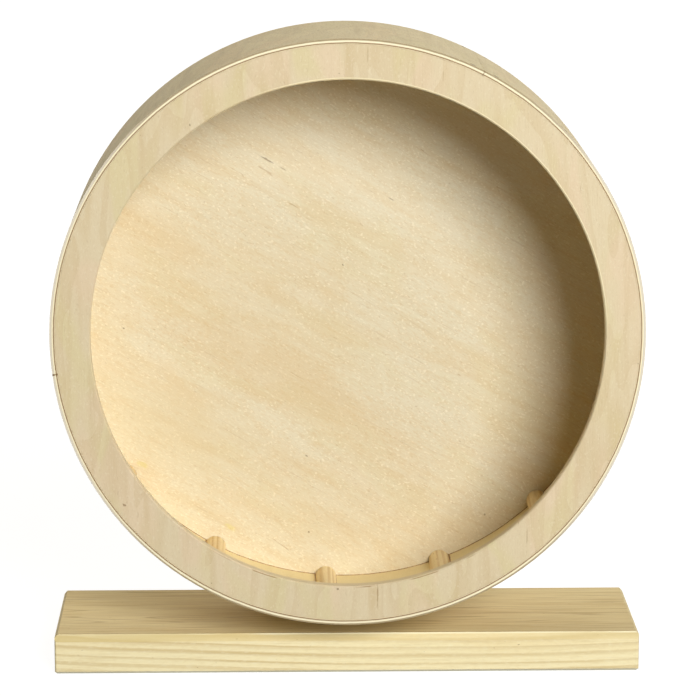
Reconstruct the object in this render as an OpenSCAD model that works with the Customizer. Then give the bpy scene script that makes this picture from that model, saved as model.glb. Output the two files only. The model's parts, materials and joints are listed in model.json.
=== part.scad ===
// Rodent exercise wheel on a plank stand.
// A shallow wooden drum turns on a bolt behind its closed back. The bolt runs in two ball bearings
// that are pressed into an upright board, and the upright is screwed to the back of a base plank.
// Frame: +X to the right, +Y from the open mouth to the back, +Z up. The origin is on the ground,
// in the middle of the whole object's width and depth. Sizes are in millimetres.

/* [Drum] */
// Outside diameter of the drum
wheel_d = 280; // [240:1:320]
// Depth of the drum, from its front edge to its back edge
drum_depth = 87; // [70:1:110]
// Thickness of the bent plywood band
band_t = 2.5; // [2:0.1:3.5]
// Width of the open butt seam between two band ends
seam_gap = 0.15; // [0.1:0.05:1]
// Place of the upper right seam, in degrees counted up from +X
seam_right_angle = 63.1; // [40:0.1:85]
// Place of the left seam, in degrees counted up from +X
seam_left_angle = 187.3; // [165:0.1:200]
// Gap that the glue fills between wooden pieces of the drum
glue_gap = 0.05; // [0.02:0.01:0.1]

/* [Ring and disc] */
// Thickness of the front ring
ring_t = 6; // [4:0.5:10]
// Face width of the front ring, from the band to the mouth
ring_face_w = 16.5; // [10:0.5:24]
// Eased edge of the mouth
mouth_ease = 0.6; // [0.2:0.1:1.5]
// Thickness of the back disc
disc_t = 5; // [4:0.5:8]

/* [Rungs] */
// Number of rungs round the running surface
rung_count = 15; // [10:1:18]
// Width of a rung where it lies on the band
rung_w = 10.4; // [8:0.1:13]
// Height of a rung above the band
rung_h = 4.6; // [3:0.1:4.8]
// Turn of the rung pattern away from the lowest point, in degrees
rung_phase = -3.95; // [-12:0.05:12]
// Slack at each end of a rung, against the ring and the disc
rung_end_gap = 0.3; // [0.1:0.1:1]

/* [Band brads] */
// Thickness of a brad
brad_d = 1.2; // [1:0.1:1.6]
// Length of a brad
brad_len = 12; // [8:0.5:16]
// Diameter of a brad's head
brad_head_d = 2.2; // [1.8:0.1:3]
// Thickness of a brad's head
brad_head_t = 0.5; // [0.3:0.1:0.8]
// Distance from a band's end to its brads, along the band
brad_inset = 6; // [4:0.5:12]

/* [Hub] */
// Diameter of the round hub block on the back of the disc
hub_d = 60; // [50:1:80]
// Thickness of the hub block
hub_t = 12; // [9:0.5:20]
// Eased back edge of the hub block
hub_ease = 2; // [0.5:0.5:4]
// Number of screws through the hub block
hub_screw_count = 4; // [3:1:6]
// Diameter of the circle that the hub screws lie on
hub_screw_circle = 44; // [36:1:46]
// Length of a hub screw under the face of its head
hub_screw_len = 16; // [14:0.5:16.5]
// Thread diameter of a hub screw
hub_screw_d = 3; // [2.5:0.1:3.5]
// Turn of the hub screws away from level, in degrees
hub_screw_turn = 45; // [0:5:90]

/* [Axle] */
// Diameter of the axle bolt
bolt_d = 7.96; // [7.9:0.01:7.98]
// Width of the bolt's hexagon head and of the nut, across the flats
hex_flats = 13; // [12:0.1:14]
// Height of the bolt's head
bolt_head_h = 5.3; // [4:0.1:6.5]
// Length of the bolt that stands out behind the nut
bolt_out = 4.8; // [1:0.1:8]
// Chamfer at the bolt's end and at the corners of the head
bolt_ease = 0.8; // [0.4:0.1:1.2]
// Length of the spacer that keeps the drum off the upright
hub_spacer_len = 5; // [3:0.5:15]
// Outside diameter of the spacers and the washer on the bolt
spacer_d = 11.6; // [10.5:0.1:12]
// Thickness of the washer under the nut
washer_t = 1.6; // [0.8:0.1:2.5]
// Height of the lock nut with its collar
nut_h = 8; // [7:0.1:10]
// Height of the lock nut's round collar
nut_collar_h = 2.2; // [1.5:0.1:3]
// Outside diameter of the collar
nut_collar_d = 11.9; // [11.4:0.1:12]
// Wall of the collar round the nylon insert
nut_collar_wall = 1.1; // [0.8:0.1:1.4]
// Depth of the nylon insert below the collar's end
insert_depth = 0.5; // [0.2:0.1:0.8]
// Clearance between two round metal pieces that slide over each other
slip = 0.03; // [0.02:0.01:0.08]

/* [Ball bearings] */
// Bore of a bearing
bearing_bore = 8; // [8:0.01:8.04]
// Outside diameter of a bearing
bearing_od = 22; // [21.5:0.1:24]
// Width of a bearing
bearing_w = 7; // [6.5:0.1:8]
// Diameter of the circle that the balls' centres run on
ball_circle = 15; // [14.9:0.05:15.1]
// Diameter of a ball
ball_d = 3.97; // [3.7:0.01:4]
// Number of balls in a bearing
ball_count = 7; // [5:1:8]
// Running clearance between a ball and its tracks
ball_play = 0.02; // [0.015:0.005:0.03]
// Outside diameter of the inner ring
inner_ring_od = 12.1; // [11.9:0.1:12.3]
// Inside diameter of the outer ring, between its shield seats
outer_ring_id = 17.8; // [17.6:0.1:18]
// Thickness of a shield
shield_t = 0.35; // [0.25:0.05:0.5]
// Depth of a shield below the side of the bearing
shield_depth = 0.25; // [0.15:0.05:0.4]
// Overlap of a shield into its seat in the outer ring
shield_seat = 0.5; // [0.3:0.05:0.7]
// Gap between a shield and the inner ring
shield_gap = 0.25; // [0.15:0.05:0.4]
// Width of the ball cage
cage_w = 4.9; // [4.7:0.1:5.2]
// Thickness of the ball cage
cage_t = 1; // [0.8:0.1:1.2]
// Play of a ball in its cage pocket
cage_play = 0.1; // [0.05:0.01:0.15]

/* [Stand] */
// Length of the base plank
base_w = 283; // [240:1:340]
// Depth of the base plank
base_depth = 84; // [70:1:96]
// Thickness of the base plank
base_t = 19.5; // [15:0.5:25]
// Width of the eased top edges at the front and the back of the base plank
base_ease = 1.7; // [1:0.1:5]
// Height of those eased edges
base_ease_h = 3.5; // [1:0.1:5]
// Eased top edges at the ends of the base plank
base_end_ease = 1.5; // [1:0.1:5]
// Eased lower edges of the base plank
base_foot_ease = 1.2; // [0.5:0.1:2]
// Rounding of the base plank's two upright corners at the front
base_front_corner_r = 1; // [1:0.5:10]
// Rounding of the base plank's two upright corners at the back
base_back_corner_r = 3.5; // [1:0.5:10]
// Gap between the drum and the base plank
drum_clearance = 10; // [6:0.5:20]
// Width of the upright board
upright_w = 90; // [70:1:110]
// Thickness of the upright board
upright_t = 19; // [18:0.5:28]
// Eased edges of the upright board
upright_ease = 2; // [0.5:0.5:4]
// Diameter of the hole through the upright between its two bearing seats
through_hole_d = 17; // [14:0.5:18]
// Number of screws from the upright into the plank
stand_screw_count = 3; // [2:1:4]
// Distance between two stand screws
stand_screw_pitch = 26; // [20:1:28]
// Length of a stand screw
stand_screw_len = 45; // [35:1:60]
// Thread diameter of a stand screw
stand_screw_d = 4; // [3.5:0.1:5]

/* [Hidden] */
$fn = 96;
// Facets of a full circle as large as the drum
drum_fn = 360;
hex_sides = 6;
// Extra length of a cutting solid past the face that it cuts
cut_over = 1;
// A wood screw's head is this many times as wide as its thread
screw_head_ratio = 2;
// Clearance of a wood screw in its drilled hole
screw_play = 0.05;
// Width and depth of the cross recess, as shares of the screw's head and thread
cross_w_share = 0.16;
cross_len_share = 0.6;
cross_deep_share = 0.5;
// A wood screw tapers to a point over this many thread diameters
screw_tip_ratio = 1.5;
// A ball's track is this many times as round as the ball
track_ratio = 1.04;

rung_names = [for (i = [1:rung_count]) str("rung_", i < 10 ? "0" : "", i)];

// Colours of the woods and metals
birch = [0.87, 0.80, 0.66];
poplar = [0.90, 0.82, 0.66];
band_wood = [0.80, 0.73, 0.56];
rung_wood = [0.88, 0.76, 0.52];
pine = [0.92, 0.83, 0.64];
beech = [0.82, 0.66, 0.45];
zinc = [0.78, 0.79, 0.80];
steel = [0.66, 0.67, 0.69];
nylon = [0.92, 0.92, 0.90];
cage_brass = [0.72, 0.60, 0.36];

// Radii of the drum
drum_r = wheel_d / 2;
band_in_r = drum_r - band_t;
fit_r = band_in_r - glue_gap;
mouth_r = band_in_r - ring_face_w;

// The bolt's stack, from the front of the drum to the end of the bolt
upright_front = drum_depth + hub_t + hub_spacer_len;
upright_back = upright_front + upright_t;
nut_front = upright_back + washer_t;
nut_back = nut_front + nut_h;
bolt_end = nut_back + bolt_out;
front_bearing_y = upright_front;
rear_bearing_y = upright_back - bearing_w;
hub_pocket_h = bolt_head_h + slip;

// Angles of the brads, beside each seam, and their depths, in the middle of the ring and of the disc
brad_step = brad_inset / drum_r * 180 / PI;
brad_angles = [for (seam = [seam_right_angle, seam_left_angle], side = [-1, 1]) seam + side * brad_step];
brad_depths = [ring_t / 2, drum_depth - disc_t / 2];

// The whole object is centred on the origin in depth, and stands on the ground
front_y = -bolt_end / 2;
axle_z = base_t + drum_clearance + drum_r;
base_front = upright_front - base_depth;

// Parts of a bearing
ball_r = ball_d / 2;
track_r = ball_r * track_ratio;
inner_track_low = ball_circle / 2 - ball_r - ball_play;
outer_track_high = ball_circle / 2 + ball_r + ball_play;
bearing_seat_r = bearing_od / 2 + slip;
shield_in_r = inner_ring_od / 2 + shield_gap;
shield_out_r = outer_ring_id / 2 + shield_seat;

// Moves a child from a place given from the drum's front edge, on the axle's line
module on_axle(y = 0) {
    translate([0, front_y + y, axle_z])
        children();
}

// Turns a round profile, drawn as radius against depth, about the axle's line
module turned(y = 0) {
    on_axle(y)
        rotate([-90, 0, 0])
            rotate_extrude()
                children();
}

// A round bar along the axle's line
module round_bar(r, from_y, to_y) {
    on_axle(from_y)
        rotate([-90, 0, 0])
            cylinder(h = to_y - from_y, r = r);
}

// A hexagon bar along the axle's line
module hex_bar(flats, from_y, to_y) {
    on_axle(from_y)
        rotate([-90, 0, 0])
            cylinder(h = to_y - from_y, d = flats / cos(180 / hex_sides), $fn = hex_sides);
}

// A ring with square edges, turned about the axle's line
module plain_ring(in_r, out_r, from_y, to_y) {
    turned()
        translate([in_r, from_y])
            square([out_r - in_r, to_y - from_y]);
}

// A sector of the drum's side view, between two angles counted up from +X
module sector(from_angle, to_angle, reach) {
    middle = (from_angle + to_angle) / 2;
    polygon([
        [0, 0],
        for (a = [from_angle, (from_angle + middle) / 2, middle, (middle + to_angle) / 2, to_angle])
            reach * [cos(a), sin(a)]
    ]);
}

// One bent strip of the running band, with its brad holes
module band_strip(from_angle, to_angle) {
    half_seam = seam_gap / 2 / drum_r * 180 / PI;
    difference() {
        intersection() {
            plain_ring(band_in_r, drum_r, 0, drum_depth, $fn = drum_fn);
            on_axle(-cut_over)
                rotate([90, 0, 0])
                    mirror([0, 0, 1])
                        linear_extrude(drum_depth + 2 * cut_over)
                            sector(from_angle + half_seam, to_angle - half_seam, wheel_d);
        }
        brads(screw_play / 2);
    }
}

// One brad, driven in from the band's outer face, thicker by an allowance for its hole
module brad(play = 0) {
    translate([drum_r - brad_len, 0, 0])
        rotate([0, 90, 0])
            cylinder(h = brad_len - brad_head_t / 2, d = brad_d + 2 * play);
    translate([drum_r - brad_head_t, 0, 0])
        rotate([0, 90, 0])
            cylinder(h = brad_head_t + play, d = brad_head_d + 2 * play);
}

module brads(play = 0) {
    for (a = brad_angles, y = brad_depths)
        on_axle(y)
            rotate([0, -a, 0])
                brad(play);
}

// A countersunk wood screw along +Z, its head's face at z = 0 and its point below
module wood_screw(d, len, play = 0) {
    r = d / 2 + play;
    head_r = d * screw_head_ratio / 2 + play;
    head_h = head_r - r;
    tip_h = d * screw_tip_ratio;
    rotate_extrude()
        polygon([
            [0, -len - play],
            [r, -len - play + tip_h],
            [r, -head_h],
            [head_r, 0],
            [0, 0]
        ]);
}

// The cross recess in a screw's head
module cross_recess(d) {
    head_d = d * screw_head_ratio;
    for (turn = [0, 90])
        rotate([0, 0, turn])
            translate([-head_d * cross_len_share / 2, -head_d * cross_w_share / 2, -d * cross_deep_share])
                cube([head_d * cross_len_share, head_d * cross_w_share, d]);
}

// Places each hub screw, its head at the hub block's back face
module at_hub_screws() {
    for (i = [0:hub_screw_count - 1])
        on_axle(drum_depth + hub_t)
            rotate([0, hub_screw_turn + i * 360 / hub_screw_count, 0])
                translate([hub_screw_circle / 2, 0, 0])
                    rotate([-90, 0, 0])
                        children();
}

// Places each stand screw, its head at the upright's back face
module at_stand_screws() {
    for (i = [0:stand_screw_count - 1])
        translate([(i - (stand_screw_count - 1) / 2) * stand_screw_pitch, front_y + upright_back, base_t / 2])
            rotate([-90, 0, 0])
                children();
}

// The front ring, with both edges of the mouth eased
module front_ring() {
    color(birch)
        difference() {
            turned($fn = drum_fn)
                polygon([
                    [mouth_r, mouth_ease],
                    [mouth_r + mouth_ease, 0],
                    [fit_r, 0],
                    [fit_r, ring_t],
                    [mouth_r + mouth_ease, ring_t],
                    [mouth_r, ring_t - mouth_ease]
                ]);
            brads(screw_play / 2);
        }
}

module long_band() {
    color(band_wood)
        band_strip(seam_left_angle - 360, seam_right_angle);
}

module short_band() {
    color(band_wood)
        band_strip(seam_right_angle, seam_left_angle);
}

module back_disc() {
    color(poplar)
        difference() {
            round_bar(fit_r, drum_depth - disc_t, drum_depth, $fn = drum_fn);
            brads(screw_play / 2);
            at_hub_screws()
                wood_screw(hub_screw_d, hub_screw_len, screw_play);
        }
}

// A half-round rung, its underside cut to the curve of the band
module rung(i) {
    bar_r = (pow(rung_w / 2, 2) + rung_h * rung_h) / (2 * rung_h);
    from_y = ring_t + rung_end_gap;
    to_y = drum_depth - disc_t - rung_end_gap;
    color(rung_wood)
        intersection() {
            round_bar(fit_r, from_y, to_y, $fn = drum_fn);
            on_axle(from_y)
                rotate([0, -rung_phase - (i - 1) * 360 / rung_count, 0])
                    translate([0, 0, -(fit_r - rung_h + bar_r)])
                        rotate([-90, 0, 0])
                            cylinder(h = to_y - from_y, r = bar_r);
        }
}

module band_brads() {
    color(steel)
        brads();
}

// The hub block, with a six-sided pocket that holds the bolt's head
module hub_block() {
    hub_r = hub_d / 2;
    color(beech)
        difference() {
            turned(drum_depth)
                polygon([
                    [0, 0],
                    [hub_r, 0],
                    [hub_r, hub_t - hub_ease],
                    [hub_r - hub_ease, hub_t],
                    [0, hub_t]
                ]);
            hex_bar(hex_flats + 2 * slip, drum_depth - cut_over, drum_depth + hub_pocket_h);
            round_bar(bolt_d / 2 + slip, drum_depth, drum_depth + hub_t + cut_over);
            at_hub_screws()
                wood_screw(hub_screw_d, hub_screw_len, screw_play);
        }
}

module hub_screws() {
    color(zinc)
        at_hub_screws()
            difference() {
                wood_screw(hub_screw_d, hub_screw_len);
                cross_recess(hub_screw_d);
            }
}

// The bolt lies with its head against the back disc, and its shank starts inside the head
module axle_bolt() {
    color(zinc) {
        head_middle = drum_depth + bolt_head_h / 2;
        corner_r = hex_flats / cos(180 / hex_sides) / 2;
        intersection() {
            hex_bar(hex_flats, drum_depth, drum_depth + bolt_head_h);
            turned(drum_depth)
                polygon([
                    [0, 0],
                    [corner_r - bolt_ease, 0],
                    [corner_r + bolt_ease, bolt_ease],
                    [corner_r + bolt_ease, bolt_head_h],
                    [0, bolt_head_h]
                ]);
        }
        turned()
            polygon([
                [0, head_middle],
                [bolt_d / 2, head_middle],
                [bolt_d / 2, bolt_end - bolt_ease],
                [bolt_d / 2 - bolt_ease, bolt_end],
                [0, bolt_end]
            ]);
    }
}

// A sleeve on the bolt
module spacer(from_y, to_y) {
    color(steel)
        plain_ring(bolt_d / 2 + slip, spacer_d / 2, from_y, to_y);
}

module hub_spacer() {
    spacer(drum_depth + hub_t, upright_front);
}

module inner_spacer() {
    spacer(front_bearing_y + bearing_w, rear_bearing_y);
}

module axle_washer() {
    spacer(upright_back, nut_front);
}

// The inner ring of a bearing, with its ball track
module bearing_inner_ring(y) {
    color(steel)
        turned(y)
            difference() {
                translate([bearing_bore / 2, 0])
                    square([(inner_ring_od - bearing_bore) / 2, bearing_w]);
                translate([inner_track_low + track_r, bearing_w / 2])
                    circle(r = track_r);
            }
}

// The outer ring of a bearing, with its ball track and two shield seats
module bearing_outer_ring(y) {
    seat_depth = shield_depth + shield_t + slip;
    color(steel)
        turned(y)
            difference() {
                translate([outer_ring_id / 2, 0])
                    square([(bearing_od - outer_ring_id) / 2, bearing_w]);
                translate([outer_track_high - track_r, bearing_w / 2])
                    circle(r = track_r);
                for (side = [-cut_over, bearing_w - seat_depth])
                    translate([outer_ring_id / 2 - cut_over, side])
                        square([shield_seat + slip + cut_over, seat_depth + cut_over]);
            }
}

// Places a child at each ball of a bearing
module at_balls(y) {
    for (i = [0:ball_count - 1])
        on_axle(y + bearing_w / 2)
            rotate([0, i * 360 / ball_count, 0])
                translate([ball_circle / 2, 0, 0])
                    children();
}

module bearing_balls(y) {
    color(zinc)
        at_balls(y)
            sphere(r = ball_r);
}

// The ring-shaped cage, with a round pocket for each ball
module bearing_cage(y) {
    from_y = y + (bearing_w - cage_w) / 2;
    color(cage_brass)
        difference() {
            plain_ring((ball_circle - cage_t) / 2, (ball_circle + cage_t) / 2, from_y, from_y + cage_w);
            at_balls(y)
                rotate([0, 90, 0])
                    cylinder(h = cage_t + 2 * cut_over, r = ball_r + cage_play, center = true);
        }
}

// The two thin shields of a bearing
module bearing_shields(y) {
    color(zinc)
        for (from_y = [y + shield_depth, y + bearing_w - shield_depth - shield_t])
            plain_ring(shield_in_r, shield_out_r, from_y, from_y + shield_t);
}

module front_bearing_inner_ring() { bearing_inner_ring(front_bearing_y); }
module front_bearing_balls() { bearing_balls(front_bearing_y); }
module front_bearing_cage() { bearing_cage(front_bearing_y); }
module front_bearing_outer_ring() { bearing_outer_ring(front_bearing_y); }
module front_bearing_shields() { bearing_shields(front_bearing_y); }
module rear_bearing_inner_ring() { bearing_inner_ring(rear_bearing_y); }
module rear_bearing_balls() { bearing_balls(rear_bearing_y); }
module rear_bearing_cage() { bearing_cage(rear_bearing_y); }
module rear_bearing_outer_ring() { bearing_outer_ring(rear_bearing_y); }
module rear_bearing_shields() { bearing_shields(rear_bearing_y); }

// The lock nut: a hexagon with a round collar round its nylon insert
module lock_nut() {
    collar_r = nut_collar_d / 2;
    color(zinc)
        difference() {
            union() {
                hex_bar(hex_flats, nut_front, nut_back - nut_collar_h);
                round_bar(collar_r, (nut_front + nut_back) / 2, nut_back);
            }
            round_bar(bolt_d / 2 + slip, nut_front - cut_over, nut_back + cut_over);
            round_bar(collar_r - nut_collar_wall, nut_back - nut_collar_h, nut_back + cut_over);
        }
}

module nut_insert() {
    insert_r = nut_collar_d / 2 - nut_collar_wall - slip;
    color(nylon)
        plain_ring(bolt_d / 2 + slip, insert_r, nut_back - nut_collar_h, nut_back - insert_depth);
}

// A rectangle with true round corners, its middle at the origin
module round_cornered(w, d, front_r, back_r) {
    for (side = [[-1, front_r], [1, back_r]])
        let (r = side[1]) {
            translate([-w / 2, side[0] < 0 ? r - d / 2 : -cut_over])
                square([w, d / 2 - r + cut_over]);
            translate([r - w / 2, side[0] < 0 ? -d / 2 : 0])
                square([w - 2 * r, d / 2]);
            for (x = [-1, 1])
                translate([x * (w / 2 - r), side[0] * (d / 2 - r)])
                    circle(r = r);
        }
}

// The end view of a board with eased long edges, its underside on the ground
module eased_end(w, h, top_in, top_down, foot) {
    polygon([
        [-w / 2 + foot, 0],
        [w / 2 - foot, 0],
        [w / 2, foot],
        [w / 2, h - top_down],
        [w / 2 - top_in, h],
        [-w / 2 + top_in, h],
        [-w / 2, h - top_down],
        [-w / 2, foot]
    ]);
}

// The base plank: three crossing outlines give its eased edges and round corners
module base_plank() {
    middle_y = front_y + base_front + base_depth / 2;
    color(pine)
        difference() {
            translate([0, middle_y, 0])
                intersection() {
                    linear_extrude(base_t)
                        round_cornered(base_w, base_depth, base_front_corner_r, base_back_corner_r);
                    rotate([90, 0, 0])
                        translate([0, 0, -base_depth / 2])
                            linear_extrude(base_depth)
                                eased_end(base_w, base_t, base_end_ease, base_end_ease, base_foot_ease);
                    rotate([90, 0, 90])
                        translate([0, 0, -base_w / 2])
                            linear_extrude(base_w)
                                eased_end(base_depth, base_t, base_ease, base_ease_h, base_foot_ease);
                }
            at_stand_screws()
                wood_screw(stand_screw_d, stand_screw_len, screw_play);
        }
}

// The upright: a board with a round head about the axle, eased at the front and the back
module upright_board() {
    head_r = upright_w / 2;
    color(pine)
        difference() {
            union() {
                translate([0, front_y + upright_front + upright_t / 2, 0])
                    linear_extrude(axle_z)
                        board_outline(upright_w, upright_t, upright_ease);
                turned(upright_front)
                    polygon([
                        [0, 0],
                        [head_r - upright_ease, 0],
                        [head_r, upright_ease],
                        [head_r, upright_t - upright_ease],
                        [head_r - upright_ease, upright_t],
                        [0, upright_t]
                    ]);
            }
            round_bar(bearing_seat_r, upright_front - cut_over, upright_front + bearing_w);
            round_bar(bearing_seat_r, upright_back - bearing_w, upright_back + cut_over);
            round_bar(through_hole_d / 2, upright_front, upright_back);
            at_stand_screws()
                wood_screw(stand_screw_d, stand_screw_len, screw_play);
        }
}

// A board's cross-section with its four edges eased
module board_outline(w, t, ease) {
    polygon([
        for (s = [[1, 1], [-1, 1], [-1, -1], [1, -1]], first = [true, false])
            let (along = (s[0] * s[1] > 0) == first)
                [s[0] * (w / 2 - (along ? 0 : ease)), s[1] * (t / 2 - (along ? ease : 0))]
    ]);
}

module stand_screws() {
    color(zinc)
        at_stand_screws()
            difference() {
                wood_screw(stand_screw_d, stand_screw_len);
                cross_recess(stand_screw_d);
            }
}

front_ring();
long_band();
short_band();
back_disc();
for (i = [1:rung_count])
    rung(i);
band_brads();
hub_block();
hub_screws();
axle_bolt();
hub_spacer();
front_bearing_inner_ring();
front_bearing_balls();
front_bearing_cage();
front_bearing_outer_ring();
front_bearing_shields();
inner_spacer();
rear_bearing_inner_ring();
rear_bearing_balls();
rear_bearing_cage();
rear_bearing_outer_ring();
rear_bearing_shields();
axle_washer();
lock_nut();
nut_insert();
base_plank();
upright_board();
stand_screws();
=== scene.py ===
"""Looks of a wooden rodent exercise wheel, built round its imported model.

Lengths are in metres, in the model's own frame: +X to the right, +Y from the open mouth to the back, +Z up.
Patterns and marks in the wood are sized in millimetres.
The wood is sanded and unfinished. Each board or veneer has its own grain, laid in the direction it was cut.
"""

import json
import math
from collections import namedtuple

import bpy
from mathutils import Euler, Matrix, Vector, noise


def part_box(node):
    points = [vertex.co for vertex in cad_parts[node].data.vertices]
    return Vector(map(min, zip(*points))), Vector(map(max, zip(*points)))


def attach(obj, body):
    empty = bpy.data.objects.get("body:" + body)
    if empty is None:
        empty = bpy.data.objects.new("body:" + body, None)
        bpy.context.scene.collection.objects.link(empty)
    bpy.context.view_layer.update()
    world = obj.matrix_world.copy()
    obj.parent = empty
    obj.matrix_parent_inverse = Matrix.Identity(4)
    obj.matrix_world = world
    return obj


MM = 0.001

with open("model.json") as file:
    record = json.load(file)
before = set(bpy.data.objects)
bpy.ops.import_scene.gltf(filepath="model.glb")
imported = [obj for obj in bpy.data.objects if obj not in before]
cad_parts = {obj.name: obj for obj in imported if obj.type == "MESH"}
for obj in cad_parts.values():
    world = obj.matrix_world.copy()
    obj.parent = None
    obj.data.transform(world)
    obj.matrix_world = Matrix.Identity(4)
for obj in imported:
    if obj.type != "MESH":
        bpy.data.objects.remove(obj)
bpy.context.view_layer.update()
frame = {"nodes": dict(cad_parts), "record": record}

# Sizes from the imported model, with the axle's point in the plane of the drum's mouth
ring_low, ring_high = (Vector(c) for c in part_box("front_ring"))
AXLE = Vector((0, ring_low.y, (ring_low.z + ring_high.z) / 2))
DRUM_IN_R = (ring_high.z - ring_low.z) / 2
DRUM_OUT_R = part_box("long_band")[1][0]
DISC_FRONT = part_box("back_disc")[0][1]
PLANK_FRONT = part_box("base_plank")[0][1]
PLANK_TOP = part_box("base_plank")[1][2]
RUNG_COUNT = sum(part["node"].startswith("rung_") for part in frame["record"]["subparts"])

# Sizes of the model that its boxes don't give
RING_FACE_WIDTH = 16.45 * MM
MOUTH_R = DRUM_IN_R - RING_FACE_WIDTH
RUNG_HALF_W = 5.2 * MM
EASED_WIDTH = 1.7 * MM

# Directions on the object
RIGHT = (1, 0, 0)
BACK = (0, 1, 0)
UP = (0, 0, 1)
FRONT = (0, -1, 0)
DOWN = (0, 0, -1)
ACROSS_AXLE = (1, 0, 1)

# Turns that lay a pattern's first direction along the grain of each piece
ALONG_X = (0, 0, 0)
ALONG_Y = (0, 0, math.radians(90))
ALONG_Z = (0, math.radians(-90), 0)
ALONG_DISC = (0, math.radians(30), 0)

# Camera, set from the middle of the drum's mouth
CAMERA_FROM_MOUTH = Vector((-0.0333, -1.5341, 0.2943))
CAMERA_YAW_DEG = 1.24
CAMERA_PITCH_DEG = 11.05
FOCAL_PX = 3330.7
IMAGE_PX = 696
SENSOR_MM = 36

# Key light: a large soft source to the upper right of the camera
KEY_DIRECTION = Vector((0.39, -1.0, 0.39))
KEY_DISTANCE = 2.3
KEY_SIZE = 1.09
KEY_WATTS = 56.7

# World light: a soft, slightly warm glow from behind the object, a little to its left
WORLD_BRIGHT_FROM = (-0.2, 0.94, 0.26)
WORLD_FADE = (0.1, 0.95)
WORLD_BRIGHT = 1.1
WORLD_COLOUR = (1.0, 0.9, 0.7, 1)
WHITE = (1, 1, 1, 1)

# Floor: white round the object, with the object's own shadow
FLOOR_SIZE = 12
FLOOR_COLOUR = (0.25, 0.25, 0.25, 1)
FLOOR_GLOW_NEAR = 0.92
FLOOR_GLOW_FAR = 1.0
FLOOR_FADE = (0.25, 0.9)

# Radii at the front ring's mouth, of the painted highlight on its arris and of a thin, broken dark line.
# The highlight is painted only on the side towards the light, and the line only low down
RING_ARRIS = (MOUTH_R + 1.1 * MM, MOUTH_R + 0.8 * MM)
RING_CHIPS = (MOUTH_R + 0.35 * MM, MOUTH_R + 0.75 * MM)
RING_CHIPS_SOFT = 0.1 * MM
ARRIS_LIT_FROM = (0.55, 0, 0.83)
ARRIS_LIT_PAST = (60 * MM, 92 * MM)
CHIPPED_BELOW = (100 * MM, 112 * MM)

# Radii between which the band's paler inside ends
BAND_INSIDE = (DRUM_IN_R + 0.3 * MM, DRUM_IN_R + 0.1 * MM)

# Plies in the cut edge of the band, out from its inner face, wavering a little.
# The core shows thicker at the top and the bottom, where the outer ply is painted darker, as shade
PLY_WAVER = 0.3 * MM
PLY_GLUE_LINE = (0.55 * MM, 0.9 * MM)
PLY_GLUE_SOFT = 0.08 * MM
CORE_START = (1.1 * MM, 1.3 * MM)
CORE_END = 1.6 * MM
CORE_END_SOFT = 0.1 * MM
CORE_MORE = 0.25 * MM
CORE_MORE_PAST = (80 * MM, 120 * MM)
OUTER_DARK_PAST = (70 * MM, 120 * MM)

# Butt seams of the running band, counted up from +X, how dark each shows, and the brads beside them.
# A seam's masks fade in over the half round, so that they leave the far side of the drum alone
SEAM_ANGLES_DEG = (63.1, 187.3)
SEAM_DARKNESS = (0.35, 1.0)
SEAM_HALF_W = 0.55 * MM
SEAM_HALF_ROUND = 50 * MM
BRAD_ASIDE = 6 * MM
BRAD_DEPTH = 3 * MM
BRAD_BRUISE = (2.3 * MM, 1.2 * MM)

# Growth rings: their spacing, how they wander, how the years differ in width, and how ragged they are
PINE_YEAR = 3.5 * MM
RUNG_YEAR = 3.1 * MM
YEAR_WANDER = 5 * MM
YEAR_CHANGE = 0.9
YEAR_UNEVEN = 0.9
YEAR_RAGGED = 0.16

# The ways that the base plank's eased front edge and foot face
EASED_EDGE = (0, -0.9, 0.437)
EASED_FOOT = (0, -0.707, -0.707)

# Along the plank, where the painted shade on its eased edge gets darker and where the painted highlight on
# its arris starts to fade.
# The arris highlight is a height just under the top, and the strip a darker depth just behind the eased edge
EASED_DARK_X = (-30 * MM, -75 * MM)
ARRIS_WORN_X = (-85 * MM, -45 * MM)
PLANK_ARRIS = (PLANK_TOP - 0.75 * MM, PLANK_TOP - 0.45 * MM)
PLANK_STRIP = (PLANK_FRONT + EASED_WIDTH + 1.6 * MM, PLANK_FRONT + EASED_WIDTH + 0.9 * MM)

# Single marks in the wood, in millimetres: place beside and above the axle, length, width, strength
DISC_WARM_PATCH = ((-27, -37), 210, 44, 0.32)
DISC_GREY_PATCH = ((-82, -62), 120, 60, 0.4)
DISC_STREAKS = (
    ((-38.5, 73), 12, 1.1, 0.6),
    ((-30, 68), 5, 0.9, 0.4),
    ((23, 53), 4, 0.9, 0.4),
    ((-109, -11), 1.6, 1.4, 0.6),
    ((-18, -115), 1.5, 1.3, 0.7),
    ((-19, -76), 2.2, 1.2, 0.5),
)
DISC_STAINS = (
    ((-100.5, -80), 8, 4.5, 0.5),
    ((-57, -112.5), 8, 4, 0.5),
)
RING_STREAKS = (
    ((14, -125), 14, 1.0, 0.7),
    ((9, 132), 12, 0.9, 0.35),
    ((44, 123), 7, 0.8, 0.35),
    ((85, -97), 9, 0.9, 0.4),
)

# Metals: clean and dull colour, roughness, and the pitch of the turning marks in millimetres
METALS = {
    "zinc_steel": ((205, 208, 212), (168, 172, 178), 0.38, 0.3),
    "brad_steel": ((116, 102, 84), (74, 60, 46), 0.55, 0.3),
    "bearing_steel": ((196, 198, 202), (176, 178, 182), 0.2, 0.15),
    "cage_brass": ((214, 178, 110), (188, 148, 84), 0.3, 0.2),
}
TURNING_DEPTH_MM = 0.004

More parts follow.
